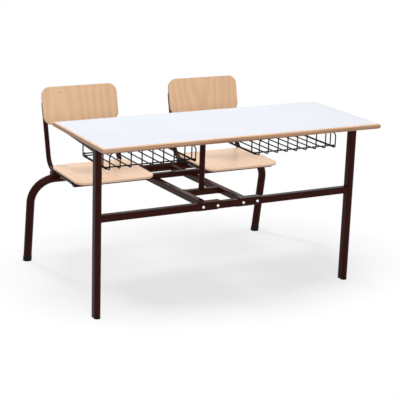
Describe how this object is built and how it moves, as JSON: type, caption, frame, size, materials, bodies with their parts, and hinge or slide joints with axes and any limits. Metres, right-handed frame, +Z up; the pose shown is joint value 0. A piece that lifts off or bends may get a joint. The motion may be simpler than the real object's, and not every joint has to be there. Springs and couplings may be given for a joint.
{
  "type": "double school desk with attached seats",
  "caption": "Double school desk: laminated top with a rounded wooden edge on a tube frame that also carries ply seats with backrests, and open wire baskets under the top.",
  "frame": {"origin": "on the floor, in the middle of the whole desk's box", "axes": "+X along the top, to the right for a viewer at its free edge; +Y from that edge to the seats; +Z up"},
  "size_m": [1.31, 1.047, 0.7948],
  "materials": {
    "laminate": "smooth white melamine laminate",
    "backing": "plain pale balancing sheet",
    "core": "particle board",
    "edge": "clear-lacquered beech, rounded",
    "ply": "clear-lacquered beech plywood",
    "frame": "dark brown powder coat, semi-gloss",
    "wire": "black powder coat",
    "cap": "black moulded plastic",
    "bolt": "bright plated",
    "rivet": "plain steel",
    "zinc": "zinc plated"
  },
  "bodies": {
    "root": {"table_laminate": "laminate", "table_backing": "backing", "table_core": "core", "front_edge": "edge", "back_edge": "edge", "left_edge": "edge", "right_edge": "edge", "left_seat": "ply", "right_seat": "ply", "left_backrest": "ply", "right_backrest": "ply", "crossbar": "frame", "rail_member": "frame", "centre_post": "frame", "post_plate": "frame", "seat_tube": "frame", "rear_arch": "frame", "left_leg": "frame", "left_arm": "frame", "left_rail": "frame", "left_rail_bracket": "frame", "left_hoop": "frame", "left_saddles": "frame", "right_leg": "frame", "right_arm": "frame", "right_rail": "frame", "right_rail_bracket": "frame", "right_hoop": "frame", "right_saddles": "frame", "left_basket_wires": "wire", "left_basket_cross_wires": "wire", "left_basket_ends": "wire", "left_basket_tabs": "wire", "right_basket_wires": "wire", "right_basket_cross_wires": "wire", "right_basket_ends": "wire", "right_basket_tabs": "wire", "seat_tube_plugs": "cap", "left_foot": "cap", "left_arch_cap": "cap", "right_foot": "cap", "right_arch_cap": "cap", "crossbar_bolts": "bolt", "left_backrest_rivets": "rivet", "right_backrest_rivets": "rivet", "table_screws": "zinc", "basket_screws": "zinc", "crossbar_nuts": "zinc", "left_seat_screws": "zinc", "left_backrest_screws": "zinc", "right_seat_screws": "zinc", "right_backrest_screws": "zinc"}
  },
  "joints": []
}
